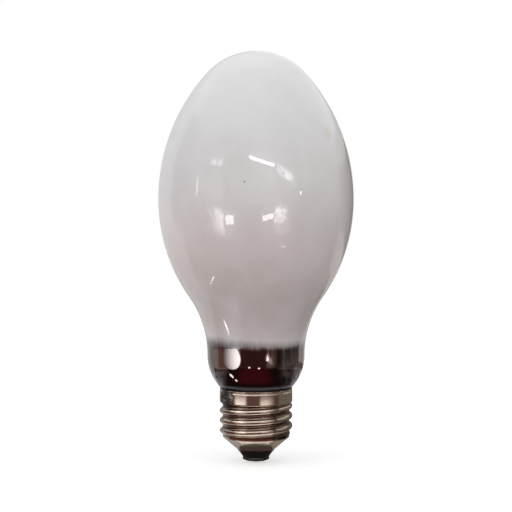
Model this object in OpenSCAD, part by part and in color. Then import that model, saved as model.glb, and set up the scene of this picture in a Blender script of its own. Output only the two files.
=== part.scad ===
// High pressure sodium lamp: a coated elliptical bulb cemented into a screw cap.
// Units are millimetres. +Z runs up the axis, from the tip of the centre contact to the crown.

/* [Overall] */
// Length from the tip of the centre contact to the crown of the bulb
lamp_length = 148; // [142:0.5:160]

/* [Bulb] */
// Diameter of the bulb at its widest part
bulb_d = 70.4; // [66:0.2:76]
// Height of the crown above the widest part
crown_height = 53.3; // [48:0.1:58]
// Radius of the arc over the crown
crown_r = 24; // [20:0.5:28]
// Radius of the arc below the widest part
flank_r = 62; // [50:0.5:70]
// Diameter of the neck at its widest part
neck_d = 35.2; // [33:0.1:38]
// Radius of the shoulder that turns the neck in towards the cap
shoulder_r = 16.5; // [15:0.1:17]

/* [Sealed neck end] */
// Length of the sealed glass that stands inside the cap, below the rim
seal_depth = 10.4; // [8:0.1:13]
// Radius of the hollow turn between the shoulder and the sealed end
seal_fillet_r = 1.5; // [0.8:0.1:2.5]
// Thickness of the glass at the mouth of the flare
seal_wall = 1.3; // [0.9:0.1:1.8]
// Diameter of the flare at its narrow end
flare_d = 9.6; // [9.2:0.1:11]
// Height of the trumpet of the flare
flare_height = 8.5; // [6:0.1:10]
// Height of the straight stretch of the flare above its trumpet
flare_straight = 5; // [3:0.1:7]
// Diameter of the sealed exhaust tube in the middle of the flare
exhaust_d = 4.6; // [3.6:0.1:4.8]
// Length of the exhaust tube that stands out below the sealed end
exhaust_drop = 3; // [1:0.1:3.6]

/* [Screw shell] */
// Thickness of the rolled sheet
sheet_t = 0.35; // [0.25:0.05:0.45]
// Diameter over the crests of the thread, which is also the collar's
thread_d = 26.3; // [26:0.05:26.5]
// Diameter at the roots of the thread
thread_root_d = 24.1; // [23.9:0.05:24.3]
// Rise of the thread in one turn
thread_pitch = 3.629; // [3.5:0.001:3.7]
// Height of the shell from its lip to its rim
shell_height = 22; // [20.5:0.1:25]
// Height of the plain collar under the rim
collar_height = 4.9; // [4.2:0.1:6]
// Height of the cone above the lip
cone_height = 4.4; // [3.6:0.1:5.2]
// Height of the plain ring between the cone and the thread
root_ring_height = 0.6; // [0.4:0.1:1]
// Diameter of the lip, where the shell grips the insulator
lip_d = 13.9; // [13:0.1:15]
// Drop of the first crest below the collar, on the +X side
first_crest_drop = 1; // [0.5:0.1:1.8]
// Width of the notch in the rim that the side lead passes through
notch_width = 1.1; // [0.9:0.05:1.6]

/* [Insulator] */
// Height of the insulator's cone below the lip
insulator_cone_height = 2.7; // [2:0.1:3.2]
// Diameter of the boss that carries the contact
boss_d = 9.6; // [9:0.1:10.4]
// Height of the boss
boss_height = 1; // [0.6:0.1:1.5]
// Height of the insulator above the lip, inside the shell
insulator_inner_height = 3.2; // [2.4:0.1:3.6]
// Bevel on the lower edge of the boss
boss_bevel = 0.2; // [0.1:0.05:0.4]

/* [Centre contact] */
// Diameter of the contact plate
contact_d = 7.8; // [7:0.1:8.6]
// Thickness of the contact plate
contact_t = 0.4; // [0.3:0.05:0.6]
// Outer diameter of the eyelet that passes through the insulator
eyelet_d = 3; // [2.6:0.1:3.6]
// Thickness of the eyelet's wall
eyelet_wall = 0.35; // [0.25:0.05:0.4]
// Diameter of the flange that the eyelet is spread to, inside the cap
eyelet_flange_d = 4.8; // [4.2:0.1:5.4]
// Thickness of that flange
eyelet_flange_t = 0.3; // [0.2:0.05:0.4]

/* [Solder] */
// Height of the solder drop below the contact plate
drop_height = 0.7; // [0.5:0.05:0.9]
// Diameter of the solder drop on the contact plate
drop_d = 4.8; // [4:0.1:5.6]
// Diameter of the worn flat on the tip of the drop
drop_flat_d = 2; // [1.4:0.1:2.6]
// Depth that the solder has risen into the eyelet
drop_plug = 1.3; // [0.8:0.1:2]
// Turn of the side solder about the axis, from the +X side
side_solder_angle = 214; // [200:1:240]
// Thickness of the side solder over the collar
side_solder_t = 0.75; // [0.5:0.05:1]
// Height of the side solder
side_solder_height = 6; // [4.5:0.1:7]
// Width of the side solder round the collar
side_solder_width = 10.5; // [8:0.5:13]

/* [Leads] */
// Diameter of both lead wires
lead_d = 0.5; // [0.4:0.05:0.6]
// Distance of each lead from the axis where it leaves the glass
lead_offset = 3.5; // [3.3:0.05:3.7]
// Radius of the bends in the leads, to the middle of the wire
lead_bend_r = 0.8; // [0.5:0.1:1.2]

/* [Cement] */
// Height of the cement inside the collar, down from the turn of the glass
cement_height = 2.5; // [1.5:0.1:2.7]
// Height of the cement that has run down from there beside the thread
cement_run = 4; // [2:0.1:4.5]

/* [Fits] */
// Gap between curved faces that seat on each other
seat_gap = 0.05; // [0.03:0.01:0.08]
// Gap left between the rim of the shell and the glass above it
joint_gap = 0.4; // [0.3:0.05:0.6]
// Clearance round the side lead between the glass and the shell
lead_gap = 0.15; // [0.1:0.01:0.2]

/* [Hidden] */
$fn = 120;

// Radii of the round pieces
bulb_r = bulb_d / 2;
neck_r = neck_d / 2;
crest_r = thread_d / 2;
root_r = thread_root_d / 2;
lip_r = lip_d / 2;
boss_r = boss_d / 2;
eyelet_r = eyelet_d / 2;
eyelet_bore_r = eyelet_r - eyelet_wall;
lead_r = lead_d / 2;
flare_r = flare_d / 2;
exhaust_r = exhaust_d / 2;

// Heights, from the tip of the centre contact upwards
plate_z = drop_height;
boss_z = plate_z + contact_t;
boss_top_z = boss_z + boss_height;
lip_z = boss_top_z + insulator_cone_height;
cone_top_z = lip_z + cone_height;
ring_top_z = cone_top_z + root_ring_height;
rim_z = lip_z + shell_height;
collar_z = rim_z - collar_height;
insulator_top_z = lip_z + insulator_inner_height;
seal_z = rim_z - seal_depth;
equator_z = lamp_length - crown_height;

// Slope of the cone away from the axis, and its wall measured level
cone_slope = atan2(root_r - lip_r, cone_height);
cone_wall_level = sheet_t / cos(cone_slope);
cone_corner_rise = sheet_t * tan(cone_slope / 2);

// The side lead stands between the sealed glass and the roots of the thread
shell_bore_r = root_r - sheet_t;
side_lead_r = shell_bore_r - lead_gap - lead_r;
seal_r = side_lead_r - lead_r - lead_gap;
mouth_r = seal_r - seal_wall;

// Neck: its widest part is placed so that the shoulder clears the rim by the joint gap
shoulder_x = neck_r - shoulder_r;
neck_z = rim_z + joint_gap + sqrt(pow(shoulder_r, 2) - pow(crest_r - shoulder_x, 2));
fillet_x = seal_r + seal_fillet_r;
fillet_z = neck_z - sqrt(pow(shoulder_r + seal_fillet_r, 2) - pow(fillet_x - shoulder_x, 2));
fillet_angle = atan2(neck_z - fillet_z, fillet_x - shoulder_x);

// Cement: it fills the collar up to the turn of the glass
cement_top_z = fillet_z - seat_gap;
cement_z = cement_top_z - cement_height - cement_run;

// Bulb: arcs that touch, each with its centre and the angle where the next one takes over.
// The flank and the throat share the room between the widest part and the neck.
upper_r = (pow(bulb_r, 2) + pow(crown_height, 2) - 2 * crown_height * crown_r)
        / (2 * (bulb_r - crown_r));
crown_centre = [0, lamp_length - crown_r];
upper_centre = [bulb_r - upper_r, equator_z];
crown_angle = atan2(crown_centre[1] - upper_centre[1], crown_centre[0] - upper_centre[0]);
throat_drop = equator_z - neck_z;
throat_in = bulb_r - neck_r;
both_arcs_r = (pow(throat_in, 2) + pow(throat_drop, 2)) / (2 * throat_in);
flank_share_most = 0.8;
flank_arc_r = min(flank_r, flank_share_most * both_arcs_r);
throat_r = both_arcs_r - flank_arc_r;
flank_centre = [bulb_r - flank_arc_r, equator_z];
throat_centre = [neck_r + throat_r, neck_z];
throat_angle = atan2(throat_drop, throat_centre[0] - flank_centre[0]);

// Flare: a trumpet arc from the mouth to the narrow end
flare_in = mouth_r - flare_r;
trumpet_r = (pow(flare_in, 2) + pow(flare_height, 2)) / (2 * flare_in);
trumpet_z = seal_z + flare_height;
flare_top_z = trumpet_z + flare_straight;

// Thread: two equal arcs to each half pitch, which touch on the flank
thread_depth = crest_r - root_r;
thread_arc_r = (pow(thread_depth / 2, 2) + pow(thread_pitch / 4, 2)) / thread_depth;
first_crest_z = collar_z - first_crest_drop;
thread_columns = 42;
thread_rows_per_turn = 10;
bury = 0.4;
skin = sheet_t / 5;
tube_z0 = ring_top_z - bury;
tube_z1 = collar_z + bury;
thread_rows = ceil((tube_z1 - tube_z0) / thread_pitch * thread_rows_per_turn);
fade_length = thread_pitch * 0.35;

// Leads: facets round the wire, and steps round each bend
wire_sides = 12;
bend_steps = 5;

// Side solder: a pad with a rounded section, trimmed at its ends by a sphere deep in the collar
pad_z = rim_z + joint_gap / 2 - side_solder_height / 2;
pad_section_r = (pow(side_solder_height / 2, 2) + pow(side_solder_t, 2)) / (2 * side_solder_t);
pad_angle = side_solder_width / crest_r * 180 / PI;
trim_x = crest_r * 0.7;
trim_r = norm([crest_r * cos(pad_angle / 2) - trim_x, crest_r * sin(pad_angle / 2)]);

function polar(c, r, a) = c + r * [cos(a), sin(a)];

function mix(a, b, t) = a + (b - a) * t;

function smooth(t) = let (u = max(0, min(1, t))) u * u * (3 - 2 * u);

// Depth of the thread below its crest, for a distance in turns from the crest
function thread_fall(turns) =
    let (s = abs(turns - round(turns)) * thread_pitch)
    s < thread_pitch / 4
        ? thread_arc_r - sqrt(pow(thread_arc_r, 2) - pow(s, 2))
        : thread_depth - thread_arc_r + sqrt(pow(thread_arc_r, 2) - pow(thread_pitch / 2 - s, 2));

// Share of the collar, and of the plain ring, in the thread's wall at height z
function collar_share(z) = smooth((z - collar_z + fade_length) / fade_length);
function ring_share(z) = smooth((ring_top_z + fade_length - z) / fade_length);

// Outer radius of the rolled wall
function wall_r(z, angle) =
    let (free_r = crest_r - thread_fall((z - first_crest_z) / thread_pitch - angle / 360))
    mix(mix(free_r, crest_r - skin, collar_share(z)), root_r - skin, ring_share(z));

// Thickness of the rolled wall, thinner where its ends lie inside the collar and the ring
function wall_t(z) = sheet_t - 2 * skin * max(collar_share(z), ring_share(z));

// A slice of a disc between two angles
module pie(centre, r, from, to) {
    reach = 2 * r;
    intersection() {
        translate(centre) circle(r = r);
        polygon([
            centre, polar(centre, reach, from), polar(centre, reach, (from + to) / 2),
            polar(centre, reach, to)
        ]);
    }
}

// Direction from one point of a path to the next, in degrees
function heading(a, b) = atan2(b[1] - a[1], b[0] - a[0]);

// Turn to the left at a point of a path, between -180 and 180 degrees
function turn_at(path, i) =
    let (turn = heading(path[i], path[i + 1]) - heading(path[i - 1], path[i]))
    turn > 180 ? turn - 360 : turn < -180 ? turn + 360 : turn;

// Stations round the bend at a point of a path, each with its place and its heading
function bend_stations(path, i, bend_r) =
    let (
        turn = turn_at(path, i),
        side = sign(turn),
        angle = heading(path[i - 1], path[i]),
        start = polar(path[i], -bend_r * tan(abs(turn) / 2), angle),
        centre = polar(start, bend_r, angle + side * 90)
    )
    [
        for (k = [0 : bend_steps])
            let (now = angle + turn * k / bend_steps) [polar(centre, bend_r, now - side * 90), now]
    ];

// A round wire that lies in the XZ plane and runs through a list of [x, z] points
module wire(path, d, bend_r) {
    last = len(path) - 1;
    stations = concat(
        [[path[0], heading(path[0], path[1])]],
        [for (i = [1 : last - 1]) each bend_stations(path, i, bend_r)],
        [[path[last], heading(path[last - 1], path[last])]]
    );
    points = [
        for (station = stations, j = [0 : wire_sides - 1])
            let (a = 360 * j / wire_sides, place = polar(station[0], d / 2 * cos(a), station[1] + 90))
            [place[0], d / 2 * sin(a), place[1]]
    ];
    end = len(points) - wire_sides;
    walls = [
        for (i = [0 : len(stations) - 2], j = [0 : wire_sides - 1])
            let (k = (j + 1) % wire_sides, low = i * wire_sides, high = low + wire_sides)
            each [[low + j, high + k, high + j], [low + j, low + k, high + k]]
    ];
    start_cap = [for (j = [1 : wire_sides - 2]) [0, j + 1, j]];
    end_cap = [for (j = [1 : wire_sides - 2]) [end, end + j, end + j + 1]];
    polyhedron(points = points, faces = concat(walls, start_cap, end_cap));
}

module bulb_outline() {
    difference() {
        union() {
            pie(crown_centre, crown_r, crown_angle, 90);
            pie(upper_centre, upper_r, 0, crown_angle);
            pie(flank_centre, flank_arc_r, -throat_angle, 0);
            pie([shoulder_x, neck_z], shoulder_r, -fillet_angle, 0);
            polygon([
                [0, equator_z],
                polar(flank_centre, flank_arc_r, -throat_angle),
                [neck_r, neck_z],
                polar([shoulder_x, neck_z], shoulder_r, -fillet_angle),
                [seal_r, fillet_z],
                [seal_r, seal_z],
                [0, seal_z]
            ]);
        }
        pie(throat_centre, throat_r, 180 - throat_angle, 180);
        pie([fillet_x, fillet_z], seal_fillet_r, 180 - fillet_angle, 180);
        translate([-2 * lamp_length, 0]) square([2 * lamp_length, 2 * lamp_length]);
    }
}

module flare_outline() {
    difference() {
        translate([0, seal_z - seal_wall]) square([mouth_r, flare_top_z - seal_z + seal_wall]);
        translate([flare_r + trumpet_r, trumpet_z]) circle(r = trumpet_r);
        translate([flare_r, trumpet_z]) square([mouth_r, flare_straight + seal_wall]);
    }
}

module glass_bulb() {
    color([0.80, 0.78, 0.78]) {
        rotate_extrude() {
            difference() {
                bulb_outline();
                flare_outline();
            }
            translate([0, seal_z - exhaust_drop])
                square([exhaust_r, flare_top_z - seal_z + exhaust_drop + seal_wall]);
        }
        translate([0, 0, seal_z - exhaust_drop]) sphere(r = exhaust_r);
    }
}

// The wall of the thread, as two wavy tubes closed at their ends
module thread_wall() {
    columns = [0 : thread_columns - 1];
    z_at = [for (i = [0 : thread_rows]) mix(tube_z0, tube_z1, i / thread_rows)];
    outer = [
        for (z = z_at, j = columns)
            let (a = 360 * j / thread_columns, r = wall_r(z, a)) [r * cos(a), r * sin(a), z]
    ];
    inner = [
        for (z = z_at, j = columns)
            let (a = 360 * j / thread_columns, r = wall_r(z, a) - wall_t(z)) [r * cos(a), r * sin(a), z]
    ];
    shift = len(outer);
    last = thread_rows * thread_columns;
    outer_faces = [
        for (i = [0 : thread_rows - 1], j = columns)
            let (k = (j + 1) % thread_columns, low = i * thread_columns, high = low + thread_columns)
            each [[low + j, high + j, high + k], [low + j, high + k, low + k]]
    ];
    inner_faces = [for (f = outer_faces) [f[2] + shift, f[1] + shift, f[0] + shift]];
    end_faces = [
        for (j = columns) let (k = (j + 1) % thread_columns)
            each [
                [j, k, k + shift], [j, k + shift, j + shift],
                [last + j, last + k + shift, last + k], [last + j, last + j + shift, last + k + shift]
            ]
    ];
    polyhedron(points = concat(outer, inner), faces = concat(outer_faces, inner_faces, end_faces));
}

module screw_shell() {
    color([0.72, 0.66, 0.60]) {
        thread_wall();
        difference() {
            rotate_extrude()
                translate([crest_r - sheet_t, collar_z]) square([sheet_t, collar_height]);
            rotate([0, 0, side_solder_angle])
                translate([root_r - sheet_t, -notch_width / 2, rim_z - notch_width])
                    cube([crest_r - root_r + 2 * sheet_t, notch_width, 2 * notch_width]);
        }
        rotate_extrude()
            polygon([
                [lip_r, lip_z],
                [root_r, cone_top_z],
                [root_r, ring_top_z],
                [root_r - sheet_t, ring_top_z],
                [root_r - sheet_t, cone_top_z + cone_corner_rise],
                [lip_r - cone_wall_level, lip_z]
            ]);
    }
}

module basing_cement() {
    color([0.86, 0.84, 0.78])
        difference() {
            rotate_extrude() {
                translate([seal_r + seat_gap, cement_z])
                    square([shell_bore_r - seal_r - 2 * seat_gap, cement_top_z - cement_z]);
                translate([seal_r + seat_gap, collar_z + bury])
                    square([crest_r - sheet_t - seal_r - 2 * seat_gap, cement_top_z - collar_z - bury]);
            }
            rotate([0, 0, side_solder_angle])
                translate([side_lead_r, 0, cement_z - 1])
                    cylinder(r = lead_r + seat_gap, h = cement_top_z - cement_z + 2);
        }
}

module base_insulator() {
    cone_gap = seat_gap / cos(cone_slope);
    top_r = lip_r - cone_wall_level - cone_gap + insulator_inner_height * tan(cone_slope);
    color([0.04, 0.04, 0.045])
        difference() {
            rotate_extrude()
                polygon([
                    [0, boss_z],
                    [boss_r - boss_bevel, boss_z],
                    [boss_r, boss_z + boss_bevel],
                    [boss_r, boss_top_z],
                    [lip_r - seat_gap, lip_z - seat_gap],
                    [lip_r - cone_wall_level - cone_gap, lip_z - seat_gap],
                    [lip_r - cone_wall_level - cone_gap, lip_z],
                    [top_r, insulator_top_z],
                    [0, insulator_top_z]
                ]);
            translate([0, 0, plate_z]) cylinder(r = eyelet_r + seat_gap, h = insulator_top_z);
        }
}

module centre_contact() {
    color([0.78, 0.70, 0.52])
        difference() {
            union() {
                translate([0, 0, plate_z]) cylinder(d = contact_d, h = contact_t);
                translate([0, 0, plate_z]) cylinder(r = eyelet_r, h = insulator_top_z - plate_z);
                translate([0, 0, insulator_top_z]) cylinder(d = eyelet_flange_d, h = eyelet_flange_t);
            }
            translate([0, 0, plate_z - 1]) cylinder(r = eyelet_bore_r, h = insulator_top_z + 2);
        }
}

module centre_solder() {
    drop_r = drop_d / 2;
    centre_z = (pow(drop_r, 2) + pow(drop_height, 2) - pow(drop_flat_d / 2, 2)) / (2 * drop_height);
    color([0.62, 0.62, 0.63]) {
        intersection() {
            translate([0, 0, centre_z]) sphere(r = sqrt(pow(centre_z, 2) + pow(drop_flat_d / 2, 2)));
            cylinder(r = drop_d, h = drop_height);
        }
        translate([0, 0, drop_height / 2])
            cylinder(r = eyelet_bore_r - seat_gap, h = drop_height / 2 + drop_plug);
    }
}

// Both leads lie in the plane that holds the axis and the side solder
module centre_lead_wire() {
    bend_z = seal_z - exhaust_drop - exhaust_r - lead_d;
    color([0.70, 0.69, 0.67])
        rotate([0, 0, side_solder_angle])
            wire([
                [-lead_offset, flare_top_z],
                [-lead_offset, bend_z],
                [0, insulator_top_z + eyelet_flange_t],
                [0, drop_height + drop_plug]
            ], lead_d, lead_bend_r);
}

module side_lead_wire() {
    under_z = seal_z - seal_wall - lead_r;
    notch_z = rim_z - notch_width / 2;
    rise = (crest_r - side_lead_r) / tan(fillet_angle);
    color([0.70, 0.69, 0.67])
        rotate([0, 0, side_solder_angle])
            wire([
                [lead_offset, flare_top_z],
                [lead_offset, under_z],
                [side_lead_r, under_z],
                [side_lead_r, notch_z - rise],
                [crest_r - lead_r / 2, notch_z]
            ], lead_d, lead_bend_r);
}

module side_solder() {
    color([0.36, 0.36, 0.37])
        rotate([0, 0, side_solder_angle])
            intersection() {
                rotate([0, 0, -pad_angle])
                    rotate_extrude(angle = 2 * pad_angle)
                        difference() {
                            translate([crest_r + side_solder_t - pad_section_r, pad_z]) circle(r = pad_section_r);
                            translate([crest_r + seat_gap - 2 * pad_section_r, pad_z - pad_section_r])
                                square([2 * pad_section_r, 2 * pad_section_r]);
                        }
                translate([trim_x, 0, pad_z]) sphere(r = trim_r);
            }
}

glass_bulb();
screw_shell();
basing_cement();
base_insulator();
centre_contact();
centre_solder();
centre_lead_wire();
side_lead_wire();
side_solder();
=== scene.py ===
"""Looks of a high pressure sodium lamp: a coated elliptical bulb, cemented into a nickel screw cap.

Every piece is made in metres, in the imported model's own frame: +Z runs up the axis, from the tip of
the centre contact at the origin to the crown of the bulb. The camera looks along +Y.
"""

import logging
import math
from dataclasses import dataclass, field
from enum import Enum
from typing import Any, Callable

import bmesh
import bpy
from mathutils import Matrix, Vector, noise


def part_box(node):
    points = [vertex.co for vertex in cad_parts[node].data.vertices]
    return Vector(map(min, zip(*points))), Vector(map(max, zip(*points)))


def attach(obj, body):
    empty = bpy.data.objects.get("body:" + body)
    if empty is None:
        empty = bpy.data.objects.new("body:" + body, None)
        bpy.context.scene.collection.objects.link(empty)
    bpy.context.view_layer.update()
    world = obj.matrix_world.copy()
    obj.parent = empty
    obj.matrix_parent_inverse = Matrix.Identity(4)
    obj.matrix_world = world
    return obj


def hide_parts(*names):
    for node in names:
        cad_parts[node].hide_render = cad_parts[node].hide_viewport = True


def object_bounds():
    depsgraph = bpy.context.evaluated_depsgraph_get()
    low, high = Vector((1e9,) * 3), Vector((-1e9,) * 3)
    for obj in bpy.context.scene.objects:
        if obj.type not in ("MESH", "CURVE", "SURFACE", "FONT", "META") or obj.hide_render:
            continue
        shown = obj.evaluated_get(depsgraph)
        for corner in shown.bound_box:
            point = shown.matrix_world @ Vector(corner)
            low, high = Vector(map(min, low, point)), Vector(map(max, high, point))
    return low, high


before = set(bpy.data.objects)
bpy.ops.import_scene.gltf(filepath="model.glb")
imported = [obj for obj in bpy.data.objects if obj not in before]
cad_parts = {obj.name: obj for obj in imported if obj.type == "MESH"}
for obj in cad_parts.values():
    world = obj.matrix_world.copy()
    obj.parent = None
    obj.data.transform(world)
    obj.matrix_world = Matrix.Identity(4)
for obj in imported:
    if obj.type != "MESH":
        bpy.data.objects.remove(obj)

CAD_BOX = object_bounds()
BODY = "root"
MM = 0.001
AXIS_Z = Vector((0, 0, 1))
LOG = logging.getLogger("sodium_lamp")

Colour = tuple[float, float, float]


def smoothstep(low: float, high: float, value: float) -> float:
    """Rise smoothly from 0 at low to 1 at high.

    Args:
        low: The value where the rise starts.
        high: The value where the rise ends.
        value: The value to place on the rise.

    Returns:
        The height of the rise, from 0 to 1.
    """
    share = min(1.0, max(0.0, (value - low) / (high - low)))
    return share * share * (3 - 2 * share)


def blend(start: float, end: float, share: float) -> float:
    """Return the value that lies a share of the way from start to end."""
    return start + (end - start) * share


def radius_of(point: Vector) -> float:
    """Return the distance of a point from the lamp's axis."""
    return math.hypot(point.x, point.y)


class Outline:
    """A section drawn in the XZ plane by pulling one vertex along lines and arcs."""

    def __init__(self, x: float, z: float) -> None:
        """Start the section.

        Args:
            x: Distance of the first point from the axis.
            z: Height of the first point.
        """
        self.mesh = bmesh.new()
        self.first = self.mesh.verts.new((x, 0, z))
        self.tip = self.first

    def line(self, x: float, z: float, steps: int = 1) -> "Outline":
        """Draw a straight stretch.

        Args:
            x: Distance of its end from the axis.
            z: Height of its end.
            steps: Number of equal edges along it.

        Returns:
            This outline, so that stretches can be chained.
        """
        step = (Vector((x, 0, z)) - self.tip.co) / steps
        for _ in range(steps):
            grown = bmesh.ops.extrude_vert_indiv(self.mesh, verts=[self.tip])
            self.tip = grown["verts"][0]
            self.tip.co += step
        return self

    def arc(self, x: float, z: float, degrees: float, steps: int) -> "Outline":
        """Draw an arc from the tip round a centre.

        Args:
            x: Distance of the centre from the axis.
            z: Height of the centre.
            degrees: Turn of the arc, positive from +X towards +Z.
            steps: Number of edges along it.

        Returns:
            This outline, so that stretches can be chained.
        """
        grown = bmesh.ops.spin(
            self.mesh, geom=[self.tip], cent=(x, 0, z), axis=(0, -1, 0),
            angle=math.radians(degrees), steps=steps,
        )
        self.tip = next(item for item in grown["geom_last"] if isinstance(item, bmesh.types.BMVert))
        return self

    def close(self) -> "Outline":
        """Join the tip to the first point."""
        self.mesh.edges.new((self.tip, self.first))
        return self

    def turn(self, steps: int) -> bmesh.types.BMesh:
        """Turn the section once round the axis.

        Args:
            steps: Number of steps in the full turn.

        Returns:
            The closed mesh, with its doubles merged and its faces pointing outwards.
        """
        bmesh.ops.spin(
            self.mesh, geom=self.mesh.verts[:] + self.mesh.edges[:], cent=(0, 0, 0), axis=AXIS_Z,
            angle=math.tau, steps=steps, use_merge=True,
        )
        tidy(self.mesh)
        return self.mesh


def tidy(mesh: bmesh.types.BMesh) -> None:
    """Merge a mesh's doubled vertices and point its faces outwards."""
    bmesh.ops.remove_doubles(mesh, verts=mesh.verts, dist=0.002 * MM)
    bmesh.ops.recalc_face_normals(mesh, faces=mesh.faces)


def bevel_sharp(mesh: bmesh.types.BMesh, width: float, segments: int, least_degrees: float) -> None:
    """Round the sharp edges of a mesh.

    Args:
        mesh: The mesh to change.
        width: Width of the rounding.
        segments: Number of faces across the rounding.
        least_degrees: An edge that turns more than this is rounded.
    """
    sharp = [
        edge for edge in mesh.edges
        if edge.is_manifold and edge.calc_face_angle(0) > math.radians(least_degrees)
    ]
    bmesh.ops.bevel(
        mesh, geom=sharp, offset=width, offset_type="OFFSET", affect="EDGES", segments=segments,
        profile=0.5, material=-1, clamp_overlap=True,
    )


class Slot(Enum):
    """The record's material slots."""

    GLASS = "coated_glass"
    NICKEL = "nickel_plate"
    CEMENT = "basing_cement"
    VITRITE = "black_glass"
    CONTACT = "contact_brass"
    BRIGHT_SOLDER = "bright_solder"
    LEAD = "lead_wire"
    DULL_SOLDER = "dull_solder"


class Value:
    """A number that comes out of a node's socket, with the operators that add Math nodes."""

    def __init__(self, shader: "Shader", socket: bpy.types.NodeSocket) -> None:
        """Wrap a socket.

        Args:
            shader: The shader whose node tree holds the socket.
            socket: The output socket to wrap.
        """
        self.shader = shader
        self.socket = socket

    def maths(self, operation: str, *operands: "Value | float", clamp: bool = False) -> "Value":
        """Add a Math node.

        Args:
            operation: The node's operation.
            operands: Its inputs, in order.
            clamp: Whether the result is held between 0 and 1.

        Returns:
            The node's result.
        """
        settings = {"operation": operation, "use_clamp": clamp}
        return self.shader.node("ShaderNodeMath", settings, dict(enumerate(operands)))

    def __add__(self, other: "Value | float") -> "Value":
        """Return the sum."""
        return self.maths("ADD", self, other)

    __radd__ = __add__

    def __sub__(self, other: "Value | float") -> "Value":
        """Return the difference."""
        return self.maths("SUBTRACT", self, other)

    def __rsub__(self, other: "Value | float") -> "Value":
        """Return the difference with this value taken away."""
        return self.maths("SUBTRACT", other, self)

    def __mul__(self, other: "Value | float") -> "Value":
        """Return the product."""
        return self.maths("MULTIPLY", self, other)

    __rmul__ = __mul__

    def __truediv__(self, other: "Value | float") -> "Value":
        """Return the quotient."""
        return self.maths("DIVIDE", self, other)

    def __pow__(self, other: "Value | float") -> "Value":
        """Return the power."""
        return self.maths("POWER", self, other)

    def clamped(self) -> "Value":
        """Return the value held between 0 and 1."""
        return self.maths("ADD", self, 0.0, clamp=True)

    def rise(self, low: "Value | float", high: "Value | float") -> "Value":
        """Rise smoothly from 0 at low to 1 at high, or fall where high is the lesser.

        Args:
            low: The value that gives 0.
            high: The value that gives 1.

        Returns:
            A mask between 0 and 1.
        """
        settings = {"interpolation_type": "SMOOTHSTEP"}
        return self.shader.node(
            "ShaderNodeMapRange", settings, {"Value": self, "From Min": low, "From Max": high}
        )


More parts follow.
